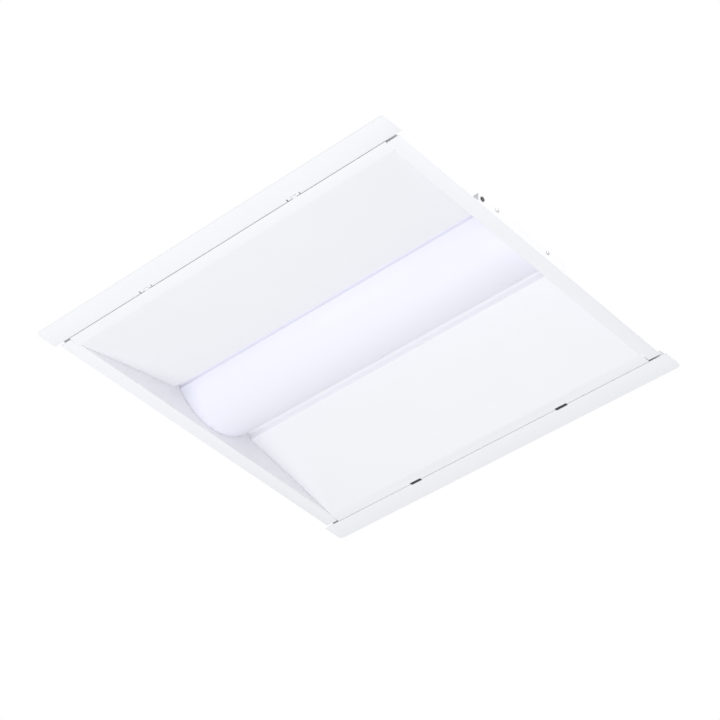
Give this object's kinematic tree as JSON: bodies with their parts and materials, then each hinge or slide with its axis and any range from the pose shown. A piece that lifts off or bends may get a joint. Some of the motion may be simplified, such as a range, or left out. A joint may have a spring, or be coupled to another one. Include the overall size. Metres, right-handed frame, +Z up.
{
  "type": "recessed troffer light",
  "caption": "Low-profile recessed ceiling light: a hinged optical door with sloping reflectors and a convex frosted lens, between two mounting rails, with a driver housing on its back.",
  "frame": {"origin": "middle of the face plane, which is the lowest plane of the light as it hangs and the face that bears on the ceiling grid", "axes": "+X along the rails and the lens, +Y across them from the hinge rail to the latch rail, +Z up into the ceiling"},
  "size_m": [0.595, 0.584, 0.0815],
  "materials": {
    "white_steel": "satin white powder coat",
    "lens_frost": "frosted white acrylic",
    "galvanised_steel": "galvanised sheet",
    "zinc_hardware": "zinc plated",
    "seal_foam": "pale closed-cell foam",
    "black_rubber": "matt rubber",
    "black_zinc": "black passivated",
    "board_white": "white solder mask",
    "chip_phosphor": "phosphor resin",
    "connector_white": "moulded",
    "driver_case": "satin",
    "terminal_grey": "moulded",
    "earth_green": "green passivated",
    "lead_insulation": "extruded"
  },
  "bodies": {
    "mounting_rails": {"hinge_rail": "white_steel", "latch_rail": "white_steel", "rail_knuckle_near": "white_steel", "rail_knuckle_far": "white_steel", "hinge_pin_near": "zinc_hardware", "hinge_pin_far": "zinc_hardware", "light_seal_hinge_side": "seal_foam", "light_seal_latch_side": "seal_foam"},
    "door": {"board_connectors": "connector_white", "board_leads_hinge_side": "lead_insulation", "board_leads_latch_side": "lead_insulation", "board_screws": "zinc_hardware", "cover_knuckles": "galvanised_steel", "cover_pin": "zinc_hardware", "diffuser_lens": "lens_frost", "door_knuckle_far": "white_steel", "door_knuckle_near": "white_steel", "driver": "driver_case", "driver_housing": "galvanised_steel", "driver_screws": "zinc_hardware", "earth_screw": "earth_green", "end_plate_far": "white_steel", "end_plate_near": "white_steel", "end_plug": "black_rubber", "end_screws_far": "zinc_hardware", "end_screws_near": "zinc_hardware", "housing_screws": "zinc_hardware", "latch_stud_far": "white_steel", "latch_stud_near": "white_steel", "led_board_hinge_side": "board_white", "led_board_latch_side": "board_white", "led_tray": "galvanised_steel", "leds_hinge_side": "chip_phosphor", "leds_latch_side": "chip_phosphor", "reflector_hinge_side": "white_steel", "reflector_latch_side": "white_steel", "supply_leads": "lead_insulation", "terminal_block": "terminal_grey", "tray_grommet": "black_rubber"},
    "latch_near": {"latch_cam_near": "black_zinc"},
    "latch_far": {"latch_cam_far": "black_zinc"},
    "wiring_cover": {"wiring_cover": "galvanised_steel", "wiring_cover_screw": "zinc_hardware"}
  },
  "joints": [
    {"name": "door_swing", "type": "hinge", "parent": "mounting_rails", "child": "door", "pos_m": [0, -0.26, 0.0017], "axis": [-1, 0, 0], "range_deg": [0, 90]},
    {"name": "latch_near_turn", "type": "hinge", "parent": "door", "child": "latch_near", "pos_m": [0.127, 0.2495, 0.0017], "axis": [0, 0, 1], "range_deg": [0, 90]},
    {"name": "latch_far_turn", "type": "hinge", "parent": "door", "child": "latch_far", "pos_m": [-0.127, 0.2495, 0.0017], "axis": [0, 0, 1], "range_deg": [0, 90]},
    {"name": "wiring_cover_swing", "type": "hinge", "parent": "door", "child": "wiring_cover", "pos_m": [0.0945, 0, 0.0799], "axis": [0, -1, 0], "range_deg": [0, 100]}
  ]
}
